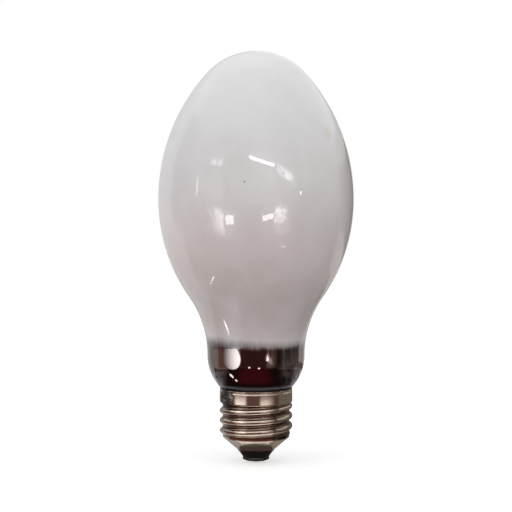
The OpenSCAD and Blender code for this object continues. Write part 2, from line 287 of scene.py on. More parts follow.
class Shader:
    """The node tree of one material, with the few makers that the finishes need."""

    def __init__(self, name: str) -> None:
        """Make an empty material.

        Args:
            name: The material's name.
        """
        self.material = bpy.data.materials.new(name)
        self.material.use_nodes = True
        self.tree = self.material.node_tree
        self.tree.nodes.clear()

    def node(
        self, kind: str, settings: dict[str, Any] | None = None,
        sockets: dict[str | int, Any] | None = None, output: str | int = 0,
    ) -> Value:
        """Add a node.

        Args:
            kind: The node's type.
            settings: Its properties, set first. A ramp's stops are pairs of a place and a colour.
            sockets: Values or links for its inputs, by name or number.
            output: The output that is returned, by name or number.

        Returns:
            The chosen output, wrapped.
        """
        made = self.tree.nodes.new(kind)
        for name, setting in (settings or {}).items():
            if name == "stops":
                self._set_stops(made.color_ramp, setting)
            else:
                setattr(made, name, setting)
        for name, value in (sockets or {}).items():
            if isinstance(value, Value):
                self.tree.links.new(value.socket, made.inputs[name])
            else:
                made.inputs[name].default_value = value
        return Value(self, made.outputs[output])

    @staticmethod
    def _set_stops(ramp: bpy.types.ColorRamp, stops: list[tuple[float, Colour]]) -> None:
        """Set the stops of a colour ramp.

        Args:
            ramp: The ramp to fill.
            stops: Pairs of a place from 0 to 1 and a colour.
        """
        while len(ramp.elements) > 1:
            ramp.elements.remove(ramp.elements[-1])
        for index, (place, colour) in enumerate(stops):
            element = ramp.elements[0] if index == 0 else ramp.elements.new(place)
            element.position = place
            element.color = (*colour, 1)

    def place(self) -> Value:
        """Return the Object coordinates, in metres."""
        return self.node("ShaderNodeTexCoord", output="Object")

    def scaled(self, place: Value, scale: Colour) -> Value:
        """Return a place with each axis scaled."""
        return self.node("ShaderNodeMapping", {}, {"Vector": place, "Scale": scale})

    def axes(self, place: Value) -> tuple[Value, Value, Value]:
        """Return the three numbers of a place."""
        apart = self.node("ShaderNodeSeparateXYZ", {}, {0: place})
        outputs = apart.socket.node.outputs
        return Value(self, outputs[0]), Value(self, outputs[1]), Value(self, outputs[2])

    def grain(self, place: Value, size: float, detail: float = 3, rough: float = 0.5) -> Value:
        """Add a noise.

        Args:
            place: The coordinates that it follows.
            size: Rough size of its patches, in metres.
            detail: Number of finer layers.
            rough: Strength of the finer layers.

        Returns:
            The noise, mostly between 0.3 and 0.7.
        """
        sockets = {"Vector": place, "Scale": 1 / size, "Detail": detail, "Roughness": rough}
        return self.node("ShaderNodeTexNoise", {}, sockets)

    def mix(self, share: Value | float, low: Value | Colour, high: Value | Colour) -> Value:
        """Mix two colours.

        Args:
            share: Share of the second colour.
            low: The colour where the share is 0.
            high: The colour where the share is 1.

        Returns:
            The mixed colour.
        """
        pair = [colour if isinstance(colour, Value) else (*colour, 1) for colour in (low, high)]
        settings = {"data_type": "RGBA"}
        return self.node("ShaderNodeMix", settings, {0: share, 6: pair[0], 7: pair[1]}, output=2)

    def distance(self, place: Value, target: Colour) -> Value:
        """Return the distance of a place from a fixed point."""
        return self.node("ShaderNodeVectorMath", {"operation": "DISTANCE"}, {0: place, 1: target}, "Value")

    def ramp(self, share: Value, stops: list[tuple[float, Colour]]) -> Value:
        """Return the colour of a ramp at a share from 0 to 1."""
        return self.node("ShaderNodeValToRGB", {"stops": stops}, {0: share})

    def bump(self, height: Value, depth: float, strength: float = 1.0) -> Value:
        """Return a normal bent by a height that spans a depth in metres."""
        sockets = {"Height": height, "Distance": depth, "Strength": strength}
        return self.node("ShaderNodeBump", {}, sockets)

    def surface(self, **sockets: Any) -> bpy.types.Material:
        """Finish the material with a Principled surface.

        Args:
            sockets: Values or links for the surface's inputs, with underscores for spaces.

        Returns:
            The material.
        """
        named = {name.replace("_", " "): value for name, value in sockets.items()}
        return self.finish(self.node("ShaderNodeBsdfPrincipled", {}, named))

    def finish(self, surface: Value) -> bpy.types.Material:
        """Send a surface to the material's output and return the material."""
        self.node_output("ShaderNodeOutputMaterial", surface)
        return self.material

    def node_output(self, kind: str, surface: Value) -> None:
        """Add the node that ends a tree.

        Args:
            kind: The type of that node.
            surface: The surface that it takes.
        """
        made = self.tree.nodes.new(kind)
        self.tree.links.new(surface.socket, made.inputs["Surface"])


def add_piece(
    name: str, mesh: bmesh.types.BMesh, material: bpy.types.Material, slot: Slot, *nodes: str
) -> bpy.types.Object:
    """Make a mesh into a piece of the lamp.

    Args:
        name: Name of the piece.
        mesh: Its mesh, in place.
        material: Its finish.
        slot: The record's slot for that finish; not used.
        nodes: The frame's nodes that it stands for.

    Returns:
        The new object.
    """
    data = bpy.data.meshes.new(name)
    mesh.to_mesh(data)
    mesh.free()
    data.polygons.foreach_set("use_smooth", [True] * len(data.polygons))
    data.set_sharp_from_angle(angle=math.radians(50))
    data.materials.append(material)
    piece = bpy.data.objects.new(name, data)
    bpy.context.scene.collection.objects.link(piece)
    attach(piece, BODY)
    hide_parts(*nodes)
    LOG.info("%s: %d faces", name, len(data.polygons))
    return piece


def dress_node(node: str, material: bpy.types.Material) -> None:
    """Give a node of the frame a finish.

    Args:
        node: Name of the node.
        material: The finish.
    """
    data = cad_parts[node].data
    data.materials.clear()
    data.materials.append(material)
    LOG.info("%s: dressed", node)


@dataclass(frozen=True)
class Spot:
    """A small round mark on a surface."""

    place: Colour
    radius: float
    colour: Colour
    strength: float


@dataclass(frozen=True)
class CoatedGlassFinish:
    """Clear outer glass over a white coating, which gives way to a dark mirror in the neck. The coating is
    painted darker towards the bottom, partly as painted shade; the mirror's dark maroon is partly painted
    reflection; a black band at the glass's foot is painted shadow.
    """

    # The coating's colour by height, darker towards the bottom and in the throat: partly a thinner coat
    # there, partly painted shade of the underside.
    coat_and_shade_stops: tuple[tuple[float, Colour], ...] = (
        (0.045, (0.60, 0.545, 0.545)),
        (0.052, (0.56, 0.485, 0.485)),
        (0.062, (0.60, 0.52, 0.52)),
        (0.075, (0.69, 0.605, 0.605)),
        (0.095, (0.73, 0.685, 0.69)),
        (0.115, (0.75, 0.74, 0.745)),
        (0.148, (0.75, 0.75, 0.755)),
    )
    # Partly the getter film's own dark tone, partly painted reflection: made darker and maroon to stand for
    # a dark red surround mirrored in the neck.
    mirror_and_reflection_colour: Colour = (0.056, 0.031, 0.029)
    mirror_edge: float = 42.1 * MM
    smoke_colour: Colour = (0.060, 0.060, 0.075)
    brown_colour: Colour = (0.16, 0.13, 0.13)
    smoke_edge: float = 44.2 * MM
    neck_r: float = 17.6 * MM
    spots: tuple[Spot, ...] = (
        Spot((-3.8 * MM, -34.9 * MM, 98.6 * MM), 0.45 * MM, (0.10, 0.09, 0.09), 0.8),
        Spot((24.8 * MM, -19.7 * MM, 116.4 * MM), 3.0 * MM, (0.66, 0.54, 0.44), 0.4),
    )
    seam_colour: Colour = (0.17, 0.16, 0.165)
    seam_top: float = 28.5 * MM
    # Painted shadow: the glass's foot is painted near-black, without gloss, where it meets the cap's rim.
    gap_shadow_colour: Colour = (0.010, 0.008, 0.008)
    gap_shadow_top: float = 27.75 * MM
    coat_roughness: float = 0.30
    mirror_roughness: float = 0.10

    def make(self) -> bpy.types.Material:
        """Return the material."""
        shader = Shader("coated_glass")
        place = shader.place()
        _, _, height = shader.axes(place)
        top = CAD_BOX[1][2]
        stops = [(at / top, colour) for at, colour in self.coat_and_shade_stops]
        cloud = shader.grain(place, 22 * MM, 2)
        mottle = shader.grain(place, 5 * MM, 4)
        # The ramp paints the coating darker towards the bottom, partly as painted shade.
        shaded_coat = shader.ramp(height / top + (cloud - 0.5) * 0.03, stops)
        shaded_coat = shader.mix((mottle - 0.35) * 0.16, shaded_coat, (0.45, 0.42, 0.42))
        blotch = shader.grain(place, 11 * MM, 2)
        shaded_coat = shader.mix(blotch.rise(0.40, 0.62) * 0.10, shaded_coat, (0.90, 0.86, 0.87))
        for spot in self.spots:
            away = shader.distance(place, spot.place)
            shaded_coat = shader.mix(away.rise(spot.radius, spot.radius * 0.3) * spot.strength, shaded_coat, spot.colour)
        across, _, _ = shader.axes(place)
        side = (across / self.neck_r).rise(0.3, -0.8)
        wisp = shader.grain(shader.scaled(place, (1, 1, 0.16)), 1.5 * MM, 4, 0.6)
        wave = shader.grain(place, 9 * MM, 2)
        drift = (wisp - 0.5) * (1.4 * MM) + (wave - 0.5) * (1.4 * MM)
        level = height + drift
        smoke = level.rise(self.smoke_edge + side * (1.6 * MM) + 1.0 * MM, self.smoke_edge - 1.6 * MM)
        mirror = level.rise(self.mirror_edge + 1.2 * MM, self.mirror_edge - 0.8 * MM)
        seam = (height + drift * 0.12).rise(self.seam_top, self.seam_top - 0.5 * MM)
        smoke_tint = shader.mix(side, self.brown_colour, self.smoke_colour)
        colour = shader.mix(smoke * (0.65 + side * 0.32), shaded_coat, smoke_tint)
        # The mirror's two dark maroon tones, partly painted reflection of a dark surround.
        tint = shader.mix((wave - 0.3) * 1.2, self.mirror_and_reflection_colour, (0.035, 0.016, 0.016))
        colour = shader.mix(mirror, colour, tint)
        colour = shader.mix(seam * 0.9, colour, self.seam_colour)
        # Painted shadow of the gap between glass and rim: near-black, with metal and coat taken away.
        gap_shadow = height.rise(self.gap_shadow_top + 0.15 * MM, self.gap_shadow_top - 0.15 * MM)
        colour = shader.mix(gap_shadow, colour, self.gap_shadow_colour)
        rough = self.coat_roughness + (mottle - 0.5) * 0.08
        rough = rough + mirror * (self.mirror_roughness - self.coat_roughness)
        return shader.surface(
            Base_Color=colour, Roughness=rough, Metallic=mirror * 0.92 * (1 - gap_shadow), Coat_Weight=1 - gap_shadow,
            Coat_Roughness=0.012, Coat_IOR=1.5, IOR=1.45,
        )


@dataclass(frozen=True)
class NickelFinish:
    """Nickel plate on the rolled shell, worn bright on the crests and brown in the roots."""

    plate_colour: Colour = (0.68, 0.62, 0.56)
    stain_colour: Colour = (0.12, 0.070, 0.050)
    root_r: float = 12.15 * MM
    crest_r: float = 12.85 * MM
    thread_foot: float = 9.9 * MM
    bare_cone: float = 0.75
    flux_place: Colour = (-10.9 * MM, -7.4 * MM, 23.2 * MM)
    flux_r: float = 5.0 * MM
    flux_colour: Colour = (0.050, 0.045, 0.035)

    def make(self) -> bpy.types.Material:
        """Return the material."""
        shader = Shader("nickel_plate")
        place = shader.place()
        across, along, height = shader.axes(place)
        reach = (across * across + along * along) ** 0.5
        cone = height.rise(self.thread_foot, self.thread_foot - 0.6 * MM)
        depth = reach.rise(self.crest_r, self.root_r) * (1 - cone * self.bare_cone)
        patch = shader.grain(place, 3.5 * MM, 4, 0.6)
        fine = shader.grain(shader.scaled(place, (1, 1, 7)), 1.2 * MM, 4, 0.7)
        stain = (depth * 0.9 + (patch - 0.45) * 0.9).clamped()
        colour = shader.mix(stain * 0.85, self.plate_colour, self.stain_colour)
        ragged = shader.distance(place, self.flux_place) + (patch - 0.5) * (3.5 * MM)
        flux = ragged.rise(self.flux_r, self.flux_r * 0.6)
        colour = shader.mix(flux * 0.85, colour, self.flux_colour)
        rough = 0.12 + stain * 0.08 + flux * 0.15 + (fine - 0.5) * 0.08
        normal = shader.bump(fine * 0.6 + patch * 0.4, 0.03 * MM, 0.6)
        return shader.surface(Base_Color=colour, Roughness=rough, Metallic=1.0, Normal=normal)


@dataclass(frozen=True)
class MetalFinish:
    """A plain metal with patches of a second tone and a fine unevenness."""

    name: str
    colour: Colour
    tarnish: Colour
    roughness: float
    patch_size: float
    bump_depth: float
    metallic: float = 1.0

    def make(self) -> bpy.types.Material:
        """Return the material."""
        shader = Shader(self.name)
        place = shader.place()
        patch = shader.grain(place, self.patch_size, 4, 0.6)
        fine = shader.grain(place, self.patch_size / 5, 3)
        share = ((patch - 0.35) * 2.4).clamped()
        colour = shader.mix(share, self.colour, self.tarnish)
        rough = self.roughness + (fine - 0.5) * 0.2
        normal = shader.bump(patch * 0.7 + fine * 0.3, self.bump_depth)
        return shader.surface(Base_Color=colour, Roughness=rough, Metallic=self.metallic, Normal=normal)


@dataclass(frozen=True)
class VitriteFinish:
    """Glossy black glass, pressed hot, with a little dust in its skin."""

    colour: Colour = (0.008, 0.008, 0.009)
    dust_colour: Colour = (0.05, 0.048, 0.045)

    def make(self) -> bpy.types.Material:
        """Return the material."""
        shader = Shader("black_glass")
        place = shader.place()
        patch = shader.grain(place, 2.5 * MM, 3)
        speck = shader.grain(place, 0.35 * MM, 2)
        dust = speck.rise(0.60, 0.72) * patch.rise(0.40, 0.65)
        colour = shader.mix(dust * 0.3, self.colour, self.dust_colour)
        normal = shader.bump(patch, 0.05 * MM, 0.5)
        return shader.surface(
            Base_Color=colour, Roughness=0.16 + dust * 0.4, Normal=normal, IOR=1.38
        )


@dataclass(frozen=True)
class CementFinish:
    """Dry pale cement."""

    colour: Colour = (0.62, 0.58, 0.50)
    shade: Colour = (0.40, 0.36, 0.30)

    def make(self) -> bpy.types.Material:
        """Return the material."""
        shader = Shader("basing_cement")
        place = shader.place()
        grit = shader.grain(place, 0.5 * MM, 5, 0.7)
        patch = shader.grain(place, 4 * MM, 2)
        colour = shader.mix((patch * 0.5 + grit * 0.5).rise(0.35, 0.65), self.shade, self.colour)
        return shader.surface(Base_Color=colour, Roughness=0.9, Normal=shader.bump(grit, 0.1 * MM))


@dataclass
class Bulb:
    """The sealed glass bulb: one solid from its crown to the sealed end inside the cap."""

    low: Vector = field(default_factory=lambda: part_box("glass_bulb")[0])
    high: Vector = field(default_factory=lambda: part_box("glass_bulb")[1])
    crown_height: float = 53.3 * MM
    crown_r: float = 24 * MM
    flank_r: float = 62 * MM
    neck_r: float = 17.6 * MM
    shoulder_r: float = 16.5 * MM
    cap_crest_r: float = 13.15 * MM
    joint_gap: float = 0.4 * MM
    fillet_r: float = 1.5 * MM
    seal_r: float = 10.9 * MM
    seal_depth: float = 10.4 * MM
    seal_wall: float = 1.3 * MM
    flare_r: float = 4.8 * MM
    flare_height: float = 8.5 * MM
    flare_straight: float = 5 * MM
    exhaust_r: float = 2.3 * MM
    exhaust_drop: float = 3 * MM
    turn_steps: int = 224

    def build(self) -> None:
        """Make the bulb and dress it."""
        mesh = self._outline().turn(self.turn_steps)
        add_piece("coated_bulb", mesh, CoatedGlassFinish().make(), Slot.GLASS, "glass_bulb")

    def _outline(self) -> Outline:
        """Return the section: the exhaust tube, the flare, the sealed end, the neck and the body."""
        widest_r = self.high.x
        crown_z = self.high.z
        equator_z = crown_z - self.crown_height
        seal_z = self.low.z + self.exhaust_r + self.exhaust_drop
        rim_z = seal_z + self.seal_depth
        shoulder_x = self.neck_r - self.shoulder_r
        overhang = self.cap_crest_r - shoulder_x
        neck_z = rim_z + self.joint_gap + math.sqrt(self.shoulder_r**2 - overhang**2)
        fillet_x = self.seal_r + self.fillet_r
        both = self.shoulder_r + self.fillet_r
        fillet_z = neck_z - math.sqrt(both**2 - (fillet_x - shoulder_x) ** 2)
        fillet_angle = math.degrees(math.atan2(neck_z - fillet_z, fillet_x - shoulder_x))
        step_in = widest_r - self.neck_r
        drop = equator_z - neck_z
        throat_r = (step_in**2 + drop**2) / (2 * step_in) - self.flank_r
        throat_angle = math.degrees(math.atan2(drop, self.flank_r + throat_r - step_in))
        rise = self.crown_height
        upper_r = (widest_r**2 + rise**2 - 2 * rise * self.crown_r) / (2 * (widest_r - self.crown_r))
        crown_angle = math.degrees(math.atan2(rise - self.crown_r, upper_r - widest_r))
        mouth_r = self.seal_r - self.seal_wall
        flare_in = mouth_r - self.flare_r
        trumpet_r = (flare_in**2 + self.flare_height**2) / (2 * flare_in)
        trumpet_angle = math.degrees(math.asin(self.flare_height / trumpet_r))
        trumpet_z = seal_z + self.flare_height
        flare_top_z = trumpet_z + self.flare_straight
        tube_z = seal_z - self.exhaust_drop
        return (
            Outline(0, tube_z - self.exhaust_r)
            .arc(0, tube_z, 90, 10)
            .line(self.exhaust_r, flare_top_z, 4)
            .line(self.flare_r, flare_top_z)
            .line(self.flare_r, trumpet_z, 2)
            .arc(self.flare_r + trumpet_r, trumpet_z, trumpet_angle, 10)
            .line(self.seal_r, seal_z)
            .line(self.seal_r, fillet_z, 6)
            .arc(fillet_x, fillet_z, -fillet_angle, 8)
            .arc(shoulder_x, neck_z, fillet_angle, 30)
            .arc(self.neck_r + throat_r, neck_z, -throat_angle, 34)
            .arc(widest_r - self.flank_r, equator_z, throat_angle, 48)
            .arc(widest_r - upper_r, equator_z, crown_angle, 52)
            .arc(0, crown_z - self.crown_r, 90 - crown_angle, 26)
        )


@dataclass
class ScrewShell:
    """The rolled screw shell, from the lip on the insulator to the rim under the glass."""

    low: Vector = field(default_factory=lambda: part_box("screw_shell")[0])
    high: Vector = field(default_factory=lambda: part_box("screw_shell")[1])
    sheet_t: float = 0.35 * MM
    crest_r: float = 13.15 * MM
    root_r: float = 12.05 * MM
    lip_r: float = 6.95 * MM
    pitch: float = 3.629 * MM
    cone_height: float = 4.4 * MM
    ring_height: float = 0.6 * MM
    collar_height: float = 4.9 * MM
    first_crest_drop: float = 1.5 * MM
    foot_groove_depth: float = 0.45 * MM
    foot_groove_width: float = 0.36 * MM
    foot_groove_drop: float = 0.55 * MM
    rim_groove_depth: float = 0.16 * MM
    rim_groove_drop: float = 0.85 * MM
    rim_groove_width: float = 0.24 * MM
    rim_roll: float = 0.08 * MM
    rim_roll_height: float = 0.28 * MM
    turn_steps: int = 256
    thread_rows: int = 92

    def build(self) -> None:
        """Make the shell and dress it."""
        mesh = self._outline().turn(self.turn_steps)
        for vertex in mesh.verts:
            self._roll(vertex)
        add_piece("screw_cap_shell", mesh, NickelFinish().make(), Slot.NICKEL, "screw_shell")

    def _outline(self) -> Outline:
        """Return the section of the sheet before its thread is rolled."""
        lip_z = self.low.z
        rim_z = self.high.z
        cone_top_z = lip_z + self.cone_height
        ring_z = cone_top_z + self.ring_height
        collar_z = rim_z - self.collar_height
        slope = math.atan2(self.root_r - self.lip_r, self.cone_height)
        level_wall = self.sheet_t / math.cos(slope)
        inner_r = self.root_r - self.sheet_t
        return (
            Outline(self.lip_r, lip_z)
            .line(self.root_r, cone_top_z, 12)
            .line(self.root_r, ring_z, 4)
            .line(self.root_r, collar_z, self.thread_rows)
            .line(self.root_r, rim_z, 30)
            .line(inner_r, rim_z, 2)
            .line(inner_r, collar_z, 10)
            .line(inner_r, ring_z, self.thread_rows)
            .line(inner_r, cone_top_z + self.sheet_t * math.tan(slope / 2), 2)
            .line(self.lip_r - level_wall, lip_z, 6)
            .close()
        )

    def _roll(self, vertex: bmesh.types.BMVert) -> None:
        """Move a vertex of the straight sheet out to the thread, the collar or the rim.

        Args:
            vertex: The vertex to move.
        """
        place = vertex.co
        reach = radius_of(place)
        above_ring = self.low.z + self.cone_height + self.ring_height
        if place.z <= above_ring or reach < 0.01 * MM:
            return
        angle = math.atan2(place.y, place.x)
        grown = self._wall_r(place.z, angle) - self.root_r
        turned = (reach + grown) / reach
        place.x *= turned
        place.y *= turned

    def _wall_r(self, height: float, angle: float) -> float:
        """Return the outer radius of the rolled wall.

        Args:
            height: Height above the contact.
            angle: Angle round the axis, in radians from the +X side.

        Returns:
            The radius, before the sheet's thickness is taken off.
        """
        collar_z = self.high.z - self.collar_height
        ring_z = self.low.z + self.cone_height + self.ring_height
        fade = 0.35 * self.pitch
        crest_z = collar_z - self.first_crest_drop
        fall = self._thread_fall((height - crest_z) / self.pitch - angle / math.tau)
        radius = blend(self.crest_r - fall, self.crest_r, smoothstep(collar_z - fade, collar_z, height))
        radius = blend(self.root_r, radius, smoothstep(ring_z, ring_z + fade, height))
        below_rim = self.high.z - height
        foot_z = collar_z - self.foot_groove_drop
        foot = self.foot_groove_depth * math.exp(-(((height - foot_z) / self.foot_groove_width) ** 2))
        rim = (below_rim - self.rim_groove_drop) / self.rim_groove_width
        groove = self.rim_groove_depth * math.exp(-(rim**2))
        roll = self.rim_roll * smoothstep(self.rim_roll_height, 0, below_rim)
        return radius - foot - groove - roll

    def _thread_fall(self, turns: float) -> float:
        """Return the thread's depth below its crest.

        Args:
            turns: Distance from a crest, in turns of the thread.

        Returns:
            The depth: two equal arcs to each half pitch, which touch on the flank.
        """
        depth = self.crest_r - self.root_r
        arc_r = ((depth / 2) ** 2 + (self.pitch / 4) ** 2) / depth
        away = abs(turns - round(turns)) * self.pitch
        if away < self.pitch / 4:
            return arc_r - math.sqrt(arc_r**2 - away**2)
        return depth - arc_r + math.sqrt(arc_r**2 - (self.pitch / 2 - away) ** 2)


@dataclass
class ContactEnd:
    """The black glass insulator, the contact plate in it and the solder drop on the plate."""

    lip_r: float = 6.95 * MM
    lip_z: float = 4.8 * MM
    boss_r: float = 4.8 * MM
    boss_z: float = 1.1 * MM
    boss_height: float = 1.0 * MM
    inner_top_z: float = 8.0 * MM
    inner_top_r: float = 10.0 * MM
    inner_low_r: float = 6.35 * MM
    hole_r: float = 1.55 * MM
    plate_r: float = 3.9 * MM
    plate_z: float = 0.7 * MM
    eyelet_r: float = 1.5 * MM
    bore_r: float = 1.15 * MM
    flange_r: float = 2.4 * MM
    flange_t: float = 0.3 * MM
    drop_r: float = 2.4 * MM
    drop_flat_r: float = 1.0 * MM
    plug_top_z: float = 2.0 * MM
    turn_steps: int = 128

    def build(self) -> None:
        """Make the three pieces and dress them."""
        self._insulator()
        self._contact()
        self._solder_drop()

    def _insulator(self) -> None:
        """Make the insulator, with the hole for the eyelet."""
        outline = (
            Outline(self.hole_r, self.boss_z)
            .line(self.boss_r, self.boss_z, 6)
            .line(self.boss_r, self.boss_z + self.boss_height, 3)
            .line(self.lip_r - 0.05 * MM, self.lip_z - 0.05 * MM, 6)
            .line(self.inner_low_r, self.lip_z - 0.05 * MM)
            .line(self.inner_low_r, self.lip_z)
            .line(self.inner_top_r, self.inner_top_z, 3)
            .line(self.hole_r, self.inner_top_z, 3)
            .close()
        )
        mesh = outline.turn(self.turn_steps)
        bevel_sharp(mesh, 0.22 * MM, 3, 35)
        add_piece("glass_insulator", mesh, VitriteFinish().make(), Slot.VITRITE, "base_insulator")

    def _contact(self) -> None:
        """Make the contact plate with its eyelet, spread to a flange inside the cap."""
        top_z = self.inner_top_z + self.flange_t
        outline = (
            Outline(self.bore_r, self.plate_z)
            .line(self.plate_r, self.plate_z, 6)
            .line(self.plate_r, self.boss_z, 2)
            .line(self.eyelet_r, self.boss_z, 3)
            .line(self.eyelet_r, self.inner_top_z, 6)
            .line(self.flange_r, self.inner_top_z)
            .line(self.flange_r, top_z)
            .line(self.bore_r, top_z)
            .close()
        )
        mesh = outline.turn(self.turn_steps)
        bevel_sharp(mesh, 0.08 * MM, 2, 35)
        finish = MetalFinish(
            "contact_brass", (0.62, 0.52, 0.34), (0.36, 0.28, 0.18), 0.32, 1.5 * MM, 0.02 * MM
        )
        add_piece("contact_plate", mesh, finish.make(), Slot.CONTACT, "centre_contact")

    def _solder_drop(self) -> None:
        """Make the solder drop, worn flat at its tip and uneven round its foot."""
        height = self.plate_z
        centre_z = (self.drop_r**2 + height**2 - self.drop_flat_r**2) / (2 * height)
        ball_r = math.hypot(centre_z, self.drop_flat_r)
        start = math.degrees(math.asin(self.drop_flat_r / ball_r))
        end = math.degrees(math.asin(self.drop_r / ball_r))
        outline = (
            Outline(0, 0)
            .line(self.drop_flat_r, 0, 5)
            .arc(0, centre_z, end - start, 12)
            .line(self.bore_r - 0.05 * MM, height, 3)
            .line(self.bore_r - 0.05 * MM, self.plug_top_z, 3)
            .line(0, self.plug_top_z)
        )
        mesh = outline.turn(self.turn_steps)
        for vertex in mesh.verts:
            place = vertex.co
            reach = radius_of(place)
            share = smoothstep(self.drop_flat_r, self.drop_r, reach) * (1 if place.z < height else 0)
            lump = noise.noise(place * 900) * 0.14 * MM + noise.noise(place * 2600) * 0.03 * MM
            place.z = min(height, place.z + abs(lump) * share)
        finish = MetalFinish(
            "bright_solder", (0.56, 0.56, 0.57), (0.36, 0.36, 0.37), 0.30, 1.2 * MM, 0.05 * MM
        )
        add_piece("solder_drop", mesh, finish.make(), Slot.BRIGHT_SOLDER, "centre_solder")


@dataclass
class SideSolder:
    """The dull solder that holds the side lead to the collar: a thin dirty smear with folds."""

    low: Vector = field(default_factory=lambda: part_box("side_solder")[0])
    high: Vector = field(default_factory=lambda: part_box("side_solder")[1])
    angle: float = math.radians(216)
    collar_r: float = 13.17 * MM
    width: float = 10.0 * MM
    thickness: float = 0.70 * MM
    thin_t: float = 0.03 * MM
    height_share: float = 0.92
    fold_count: float = 6.5
    columns: int = 110
    rows: int = 80

    def build(self) -> None:
        """Make the solder and dress it."""
        mesh = bmesh.new()
        bmesh.ops.create_grid(mesh, x_segments=self.columns, y_segments=self.rows, size=1)
        front = mesh.faces[:]
        grown = bmesh.ops.extrude_face_region(mesh, geom=front, use_keep_orig=True)
        raised = {item for item in grown["geom"] if isinstance(item, bmesh.types.BMVert)}
        for vertex in mesh.verts:
            self._lay(vertex, vertex in raised)
        tidy(mesh)
        finish = MetalFinish(
            "dull_solder", (0.19, 0.185, 0.18), (0.022, 0.020, 0.015), 0.40, 2.4 * MM, 0.05 * MM
        )
        add_piece("side_solder_smear", mesh, finish.make(), Slot.DULL_SOLDER, "side_solder")

    def _lay(self, vertex: bmesh.types.BMVert, raised: bool) -> None:
        """Lay a vertex of the flat grid on the collar.

        Args:
            vertex: The vertex, between -1 and 1 along X and Y.
            raised: Whether it lies on the outer face.
        """
        across, up = vertex.co.x, vertex.co.y
        spot = Vector((across * math.sqrt(1 - 0.5 * up * up), up * math.sqrt(1 - 0.5 * across * across), 0))
        edge = spot.length
        heading = spot / max(edge, 0.001)
        ragged = 0.92 + 0.14 * noise.noise(heading * 1.3) + 0.09 * noise.noise(heading * 4.5)
        middle_z = (self.low.z + self.high.z) / 2
        half_height = (self.high.z - self.low.z) / 2 * self.height_share
        height = middle_z + spot.y * ragged * half_height
        angle = self.angle + spot.x * ragged * self.width / 2 / self.collar_r
        swell = self._swell(spot, edge) if raised else 0.0
        radius = self.collar_r + swell
        vertex.co = Vector((radius * math.cos(angle), radius * math.sin(angle), height))

    def _swell(self, spot: Vector, edge: float) -> float:
        """Return the thickness of the solder at a spot.

        Args:
            spot: The spot, with its rim at a distance of 1.
            edge: Its distance from the middle.

        Returns:
            The thickness.
        """
        rim = smoothstep(1.0, 0.62, edge)
        slant = spot.x * 0.75 + spot.y * 0.65
        bend = 1.5 * noise.noise(spot * 1.9 + Vector((3, 1, 5)))
        fold = abs(math.sin(slant * self.fold_count / 2 + bend)) ** 1.6
        lump = 0.5 + 0.5 * noise.noise(spot * 2.7 + Vector((7, 3, 1)))
        grit = 0.06 * noise.noise(spot * 11)
        share = min(1.0, max(0.0, 0.12 + 0.50 * fold * lump + 0.42 * lump * lump + grit))
        return self.thin_t + (self.thickness - self.thin_t) * share * rim


@dataclass
class InnerPieces:
    """The cement ring and the two leads, which keep the frame's own meshes."""

    def build(self) -> None:
        """Dress the pieces."""
        dress_node("basing_cement", CementFinish().make())
        wire = MetalFinish(
            "lead_wire", (0.52, 0.50, 0.47), (0.34, 0.31, 0.28), 0.35, 0.8 * MM, 0.01 * MM
        ).make()
        dress_node("centre_lead_wire", wire)
        dress_node("side_lead_wire", wire)


class Shape(Enum):
    """The shape of a card's glow."""

    PLAIN = "plain"
    OVAL = "oval"
    HIGH_OVAL = "oval, widest near its top"


@dataclass(frozen=True)
class Card:
    """A glowing or dark card that shows in the gloss of the lamp and nowhere else.

    It bends round the axis. Its azimuths are 0 towards the camera and grow towards +X. Its rings and
    heights go from its lower or inner edge to its upper or outer edge, in metres, so it stands where
    the rings are equal and lies flat where the heights are. A fade is the share of its width or
    height over which an edge goes soft. Its lean and drift are the growth of its height and of its
    ring from its first azimuth to its last, and its cloud is the size of the patches that break up its glow.
    """

    name: str
    azimuths: tuple[float, float]
    rings: tuple[float, float]
    heights: tuple[float, float]
    glow: float
    tint: Colour = (1, 1, 1)
    fade_across: tuple[float, float] = (0.0, 0.0)
    fade_up: tuple[float, float] = (0.0, 0.0)
    lean: float = 0.0
    drift: float = 0.0
    cloud: float = 0.0
    shape: Shape = Shape.PLAIN


